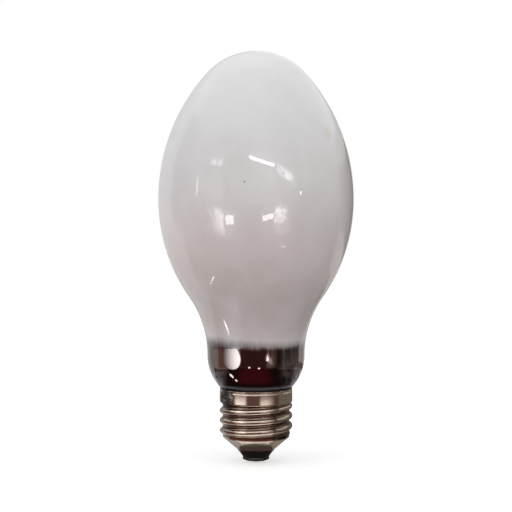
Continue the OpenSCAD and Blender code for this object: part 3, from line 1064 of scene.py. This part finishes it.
@dataclass
class Studio:
    """A pale floor, a white surround, soft light from above, and cards for the gloss."""

    floor_size: float = 6.0
    floor_colour: Colour = (0.60, 0.60, 0.60)
    floor_lift: float = 0.60
    floor_far_lift: float = 0.20
    floor_near_r: float = 0.05
    floor_far_r: float = 0.60
    room_light: float = 0.50
    widest_share: float = 0.87
    top_share: float = 0.75
    cards: tuple[Card, ...] = (
        Card("front_wall", (-112, 54), (0.60, 0.60), (0.0, 0.55), 0.13, (1.0, 0.85, 0.78)),
        Card("right_foot", (54, 112), (0.60, 0.60), (0.0, 0.08), 0.16, (1.0, 0.92, 0.84)),
        Card("right_step", (54, 112), (0.60, 0.60), (0.08, 0.18), 0.40, (1.0, 0.94, 0.86)),
        Card("right_wall", (54, 112), (0.60, 0.60), (0.18, 0.55), 0.60, (1.0, 0.96, 0.88)),
        Card("dark_wall", (112, 158), (0.60, 0.60), (0.0, 0.24), 0.11, (1.0, 0.84, 0.72)),
        Card("rim_wall", (158, 180), (0.60, 0.60), (0.0, 0.24), 0.48, (1.0, 0.92, 0.85)),
        Card("half_wall", (112, 180), (0.60, 0.60), (0.24, 0.34), 0.50, (1.0, 0.95, 0.90)),
        Card("high_wall", (112, 180), (0.60, 0.60), (0.34, 0.55), 0.90),
        Card("back_wall", (180, 248), (0.60, 0.60), (0.0, 0.55), 0.66),
        Card("ceiling_front", (-100, 100), (0.001, 0.601), (0.55, 0.55), 0.50),
        Card("ceiling_rear", (100, 260), (0.001, 0.601), (0.55, 0.55), 0.85),
        Card(
            "front_band", (-75, 60), (0.50, 0.50), (0.05, 0.27), 0.8, (1.0, 0.96, 0.92),
            (0.25, 0.25), (0.3, 0.3), cloud=0.10,
        ),
        Card("floor_front", (-96, 50), (0.0245, 0.598), (0.0003, 0.0003), 0.24, (1.0, 0.36, 0.30)),
        Card("floor_right", (50, 116), (0.0245, 0.598), (0.0003, 0.0003), 0.02, (1.0, 0.9, 0.8)),
        Card("floor_rear", (116, 180), (0.0245, 0.200), (0.0003, 0.0003), 0.17, (1.0, 0.85, 0.74)),
        Card("floor_back", (116, 180), (0.200, 0.598), (0.0003, 0.0003), 0.56, (1.0, 0.94, 0.88)),
        Card("floor_left", (-180, -96), (0.0245, 0.598), (0.0003, 0.0003), 0.60, (1.0, 0.96, 0.93)),
        Card(
            "floor_line", (64, 67.5), (0.034, 0.500), (0.0006, 0.0006), 0.55, (1.0, 0.97, 0.93),
            (0.3, 0.3),
        ),
        Card("tray_front", (-96, 50), (0.0134, 0.034), (0.0272, 0.0272), 0.03, (1.0, 0.45, 0.40)),
        Card(
            "tray_right", (36, 116), (0.0134, 0.034), (0.0274, 0.0274), 0.42, (1.0, 0.97, 0.95),
            (0.25, 0.0), cloud=0.010,
        ),
        Card(
            "tray_brown", (-96, -46), (0.0190, 0.034), (0.0274, 0.0274), 0.40, (1.0, 0.75, 0.66),
            (0.3, 0.25), (0.8, 0.0),
        ),
        Card("tray_dark", (50, 116), (0.0134, 0.034), (0.0271, 0.0271), 0.02),
        Card("tray_rear", (116, 180), (0.0134, 0.034), (0.0272, 0.0272), 0.60, (1.0, 0.95, 0.92)),
        Card("tray_left", (-180, -96), (0.0134, 0.034), (0.0272, 0.0272), 0.60, (1.0, 0.97, 0.96)),
        Card(
            "tray_rim", (-96, 110), (0.0134, 0.0150), (0.0274, 0.0274), 0.24, (0.93, 0.96, 1.0),
            (0.3, 0.3), (0.0, 0.6),
        ),
        Card(
            "tray_side", (-100, -48), (0.0134, 0.0290), (0.0274, 0.0274), 0.45, (0.93, 0.96, 1.0),
            (0.0, 0.4), (0.0, 0.3),
        ),
        Card(
            "tray_red", (-38, 32), (0.0146, 0.036), (0.0274, 0.0274), 0.27, (1.0, 0.03, 0.05),
            (0.3, 0.3), (0.15, 0.3),
        ),
        Card(
            "tray_glint", (-47.5, -37.5), (0.0203, 0.0223), (0.0276, 0.0276), 12.0,
            drift=-0.0035, shape=Shape.OVAL,
        ),
        Card(
            "tray_spark", (-34.6, -29.6), (0.0171, 0.0183), (0.0276, 0.0276), 9.0,
            drift=-0.0008, shape=Shape.OVAL,
        ),
        Card("sky_front", (-80, 58), (0.0150, 0.033), (0.0268, 0.0268), 1.15, (1.0, 0.94, 0.86), (0.1, 0.3)),
        Card("sky_bright", (-56, -30), (0.016, 0.029), (0.0267, 0.0267), 1.0, (1.0, 0.96, 0.90), (0.3, 0.3)),
        Card("sky_right", (58, 116), (0.0150, 0.033), (0.0268, 0.0268), 0.60, (1.0, 0.88, 0.76)),
        Card("sky_left", (-126, -80), (0.0150, 0.033), (0.0268, 0.0268), 0.75, (1.0, 0.94, 0.88)),
        Card("sky_rear", (116, 234), (0.0150, 0.033), (0.0268, 0.0268), 0.30, (1.0, 0.94, 0.88)),
        Card("under_shade", (-180, 180), (0.0012, 0.0087), (0.0003, 0.0003), 0.09, (1.0, 0.72, 0.60)),
        Card(
            "under_bright", (-46, 36), (0.0088, 0.0112), (0.0004, 0.0004), 0.8, (1.0, 0.95, 0.90),
            (0.2, 0.4), (0.1, 0.5),
        ),
        Card("under_front", (-60, 50), (0.0087, 0.0245), (0.0003, 0.0003), 1.10, (1.0, 0.94, 0.86)),
        Card("under_right", (50, 120), (0.0087, 0.0245), (0.0003, 0.0003), 0.34, (1.0, 0.86, 0.74)),
        Card("under_left", (-126, -60), (0.0087, 0.0245), (0.0003, 0.0003), 0.46, (1.0, 0.93, 0.87)),
        Card("under_rear", (120, 234), (0.0087, 0.0245), (0.0003, 0.0003), 0.30, (1.0, 0.94, 0.88)),
        Card("cap_low", (-100, 60), (0.0245, 0.0245), (0.0, 0.004), 0.40, (1.0, 0.85, 0.75)),
        Card("cap_front", (-100, 60), (0.030, 0.030), (0.008, 0.0266), 0.125, (1.0, 0.50, 0.40)),
        Card("cap_right", (60, 180), (0.030, 0.030), (0.008, 0.0266), 0.18, (1.0, 0.84, 0.70)),
        Card("cap_left", (-180, -100), (0.030, 0.030), (0.008, 0.0266), 0.32, (1.0, 0.93, 0.87)),
        Card(
            "cap_sheen_left", (-60, -21), (0.0299, 0.0299), (0.0170, 0.0245), 1.3,
            (1.0, 0.95, 0.88), (0.25, 0.2), (0.0, 0.7),
        ),
        Card(
            "cap_sheen_right", (8, 52), (0.0299, 0.0299), (0.0170, 0.0240), 1.1,
            (1.0, 0.95, 0.88), (0.12, 0.7), (0.0, 0.7),
        ),
        Card("bar", (-7.3, 20.5), (0.35, 0.35), (0.2355, 0.2480), 24.0, lean=-0.038),
        Card("pane_left", (-32.6, -23.6), (0.20, 0.20), (0.0365, 0.0580), 9.0),
        Card("pane_right", (6.8, 18.4), (0.20, 0.20), (0.0450, 0.0585), 9.5, lean=0.0075),
        Card(
            "sheen_left", (-50, -34.3), (0.20, 0.20), (0.004, 0.082), 8.5, (1, 0.99, 0.97),
            (0.6, 0.05), (0.5, 0.2), lean=-0.012, cloud=0.006,
        ),
        Card(
            "sheen_right", (19.4, 38), (0.20, 0.20), (0.030, 0.082), 9.0, (0.98, 1.0, 0.97),
            (0.03, 0.6), (0.4, 0.2), cloud=0.008,
        ),
        Card(
            "green_right", (19.6, 40), (0.20, 0.20), (0.006, 0.036), 2.8, (0.9, 1.0, 0.85),
            (0.1, 0.5), (0.5, 0.1), cloud=0.012,
        ),
        Card(
            "crescent", (22, 46), (0.35, 0.35), (0.156, 0.214), 8.0, (1, 1, 1), (0.1, 0.4),
            (0.4, 0.4), lean=-0.062, cloud=0.02,
        ),
        Card(
            "far_patch", (-56, -36), (0.35, 0.35), (0.212, 0.250), 5.0, (1, 1, 1), (0.4, 0.2),
            (0.4, 0.4), cloud=0.02,
        ),
        Card("streak_high", (-66.6, -64.4), (0.20, 0.20), (0.092, 0.150), 5.0, fade_up=(0.5, 0.5)),
        Card(
            "streak_mid", (-54.3, -46.7), (0.20, 0.20), (0.068, 0.072), 7.0, (1, 1, 1), (0.3, 0.3),
            lean=-0.047,
        ),
        Card("spot_right", (46.9, 48.5), (0.20, 0.20), (0.104, 0.110), 14.0),
        Card(
            "spot_low", (18.6, 24.3), (0.045, 0.045), (0.0693, 0.0703), 9.0, (1, 1, 1), (0.3, 0.3),
            cloud=0.001,
        ),
        Card(
            "streak_low", (-62.6, -45.7), (0.045, 0.045), (0.0447, 0.0456), 14.0, (1, 1, 1),
            (0.5, 0.2), lean=0.009,
        ),
        Card(
            "streak_throat", (-51.9, -43.6), (0.030, 0.030), (0.0412, 0.0421), 12.0, (1, 1, 1),
            (0.4, 0.2), lean=-0.0023,
        ),
        Card(
            "neck_oval", (-62, -25), (0.030, 0.030), (0.0272, 0.0385), 13.5, (0.84, 1, 0.99), (0.95, 0),
            shape=Shape.HIGH_OVAL,
        ),
        Card(
            "neck_brown", (-96, -46), (0.0301, 0.0301), (0.0273, 0.0385), 0.45, (1.0, 0.75, 0.66),
            (0.3, 0.25),
        ),
        Card(
            "neck_green", (15.5, 37), (0.030, 0.030), (0.0275, 0.0386), 0.9, (0.92, 1.0, 0.90),
            (0.25, 0.6), (0.5, 0), cloud=0.012,
        ),
        Card(
            "neck_right", (34, 100), (0.0302, 0.0302), (0.0275, 0.0388), 0.45, (1.0, 0.97, 0.95),
            (0.3, 0.0), cloud=0.010,
        ),
        Card(
            "neck_smear", (19, 30), (0.0299, 0.0299), (0.0325, 0.0375), 2.4, (1.0, 1.0, 0.97),
            (0.1, 0.6), (0.5, 0.3), lean=-0.003,
        ),
        Card("neck_spot", (16.8, 20.6), (0.0298, 0.0298), (0.0358, 0.0378), 12.0, shape=Shape.OVAL),
        Card("neck_dot_left", (-13.0, -9.6), (0.030, 0.030), (0.0291, 0.0307), 14.0, shape=Shape.OVAL),
        Card("neck_dot_right", (3.2, 6.8), (0.030, 0.030), (0.0282, 0.0299), 14.0, shape=Shape.OVAL),
    )

    def build(self) -> None:
        """Make the floor, the surround, the lights and the cards."""
        self._world()
        self._floor()
        self._lamp("top_light", (0.0, -0.05, 0.85), (0, 0, 0.07), (0.7, 0.7), 2.4)
        self._lamp("left_light", (-0.85, -0.45, 0.45), (0, 0, 0.08), (0.5, 0.7), 2.0)
        self._lamp("right_light", (0.8, -0.6, 0.5), (0, 0, 0.08), (0.4, 0.6), 1.1)
        self._lamp("front_light", (0.2, -1.0, 0.16), (0, 0, 0.09), (0.5, 0.4), 1.2)
        self._lamp("low_left_light", (-0.29, 0.08, 0.02), (0, 0, 0.06), (0.2, 0.2), 0.22)
        for card in self.cards:
            self._card(card)

    @staticmethod
    def _seen_white(shader: Shader) -> Value:
        """Return 1 for camera, glossy and transmission rays, and 0 for the rest."""
        path = shader.node("ShaderNodeLightPath")
        outputs = path.socket.node.outputs
        seen = Value(shader, outputs["Is Camera Ray"]) + Value(shader, outputs["Is Glossy Ray"])
        return (seen + Value(shader, outputs["Is Transmission Ray"])).clamped()

    def _world(self) -> None:
        """Make the surround: white where it is seen, and a plain grey light otherwise."""
        world = bpy.data.worlds.new("surround")
        bpy.context.scene.world = world
        world.use_nodes = True
        shader = Shader("surround_nodes")
        bpy.data.materials.remove(shader.material)
        shader.tree = world.node_tree
        shader.tree.nodes.clear()
        seen = self._seen_white(shader)
        strength = self.room_light + seen * (1 - self.room_light)
        light = shader.node("ShaderNodeBackground", {}, {"Color": (1, 1, 1, 1), "Strength": strength})
        shader.node_output("ShaderNodeOutputWorld", light)

    def _floor(self) -> None:
        """Make the floor: it takes the lamp's shadow, and is lifted to white where it is seen."""
        mesh = bmesh.new()
        bmesh.ops.create_grid(mesh, x_segments=1, y_segments=1, size=self.floor_size / 2)
        shader = Shader("pale_floor")
        matt = shader.node("ShaderNodeBsdfDiffuse", {}, {"Color": (*self.floor_colour, 1)})
        across, along, _ = shader.axes(shader.place())
        away = ((across * across + along * along) ** 0.5).rise(self.floor_near_r, self.floor_far_r)
        lift = self._seen_white(shader) * (self.floor_lift + away * self.floor_far_lift)
        glow = shader.node("ShaderNodeEmission", {}, {"Color": (1, 1, 1, 1), "Strength": lift})
        both = shader.node("ShaderNodeAddShader", {}, {0: matt, 1: glow})
        self._stage("pale_floor", mesh, shader.finish(both))

    @staticmethod
    def _stage(name: str, mesh: bmesh.types.BMesh, material: bpy.types.Material) -> bpy.types.Object:
        """Make a mesh into a piece of the stage.

        Args:
            name: Name of the piece.
            mesh: Its mesh, in place.
            material: Its material.

        Returns:
            The new object.
        """
        data = bpy.data.meshes.new(name)
        mesh.to_mesh(data)
        mesh.free()
        data.materials.append(material)
        piece = bpy.data.objects.new(name, data)
        bpy.context.scene.collection.objects.link(piece)
        return piece

    @staticmethod
    def _lamp(name: str, place: Colour, target: Colour, size: tuple[float, float], power: float) -> None:
        """Add a soft light that doesn't show in the gloss.

        Args:
            name: Name of the light.
            place: Where it stands.
            target: The point that it faces.
            size: Its width and height.
            power: Its power in watts.
        """
        data = bpy.data.lights.new(name, "AREA")
        data.shape = "RECTANGLE"
        data.size, data.size_y = size
        data.energy = power
        light = bpy.data.objects.new(name, data)
        light.location = place
        light.rotation_euler = (Vector(target) - Vector(place)).to_track_quat("-Z", "Y").to_euler()
        light.visible_glossy = False
        bpy.context.scene.collection.objects.link(light)

    def _card(self, card: Card) -> None:
        """Make a card on its ring.

        Args:
            card: The card's place, size and glow.
        """
        start, end = (math.radians(azimuth) for azimuth in card.azimuths)
        mesh = bmesh.new()
        bmesh.ops.create_grid(mesh, x_segments=24, y_segments=4, size=0.5)
        uv_layer = mesh.loops.layers.uv.new("UVMap")
        for face in mesh.faces:
            for loop in face.loops:
                loop[uv_layer].uv = (loop.vert.co.x + 0.5, loop.vert.co.y + 0.5)
        for vertex in mesh.verts:
            across, up = vertex.co.x + 0.5, vertex.co.y + 0.5
            azimuth = blend(start, end, across)
            ring = blend(*card.rings, up)
            height = blend(*card.heights, up) + card.lean * (across - 0.5)
            ring += card.drift * (across - 0.5)
            vertex.co = (ring * math.sin(azimuth), -ring * math.cos(azimuth), height)
        shader = Shader(card.name)
        uv = shader.node("ShaderNodeTexCoord", output="UV")
        across, up, _ = shader.axes(uv)
        strength = shader.node("ShaderNodeValue")
        strength.socket.default_value = card.glow
        for share, (first, last) in ((across, card.fade_across), (up, card.fade_up)):
            if first:
                strength = strength * share.rise(0.0, first)
            if last:
                strength = strength * share.rise(1.0, 1.0 - last)
        if card.shape is not Shape.PLAIN:
            wide = across * 2 - 1
            tall = up * 2 - 1
            if card.shape is Shape.HIGH_OVAL:
                above = (up - self.widest_share) * (self.top_share / (1 - self.widest_share))
                below = (self.widest_share - up) / self.widest_share
                tall = above.maths("MAXIMUM", above, below)
            strength = strength * (wide * wide + tall * tall).rise(1.0, 0.85)
        if card.cloud:
            place = shader.node("ShaderNodeTexCoord", output="Object")
            strength = strength * shader.grain(place, card.cloud, 4, 0.6).rise(0.32, 0.62)
        glow = shader.node("ShaderNodeEmission", {}, {"Color": (*card.tint, 1), "Strength": strength})
        if card.cloud or card.shape is not Shape.PLAIN or any(card.fade_across + card.fade_up):
            clear = shader.node("ShaderNodeBsdfTransparent", {}, {})
            glow = shader.node("ShaderNodeAddShader", {}, {0: clear, 1: glow})
        piece = self._stage(card.name, mesh, shader.finish(glow))
        piece.visible_camera = False
        piece.visible_diffuse = False
        piece.visible_transmission = False
        piece.visible_shadow = False


@dataclass
class PhotoCamera:
    """A level camera in front of the lamp."""

    focal_pixels: float = 1000.0
    image_pixels: float = 512.0
    sensor_width: float = 36.0
    distance: float = 361.84 * MM
    height: float = 74.28 * MM

    def build(self) -> None:
        """Make the camera and give it to the scene."""
        data = bpy.data.cameras.new("front_camera")
        data.sensor_width = self.sensor_width
        data.lens = self.focal_pixels / self.image_pixels * self.sensor_width
        data.clip_start = 0.01
        camera = bpy.data.objects.new("front_camera", data)
        camera.location = (0, -self.distance, self.height)
        camera.rotation_euler = (math.radians(90), 0, 0)
        bpy.context.scene.collection.objects.link(camera)
        bpy.context.scene.camera = camera


def main() -> None:
    """Build the camera, the lamp's pieces and the studio."""
    logging.basicConfig(level=logging.INFO, format="%(message)s")
    bpy.context.scene.view_settings.view_transform = "Standard"
    PhotoCamera().build()
    Bulb().build()
    ScrewShell().build()
    ContactEnd().build()
    SideSolder().build()
    InnerPieces().build()
    Studio().build()


if __name__ == "__main__":
    main()
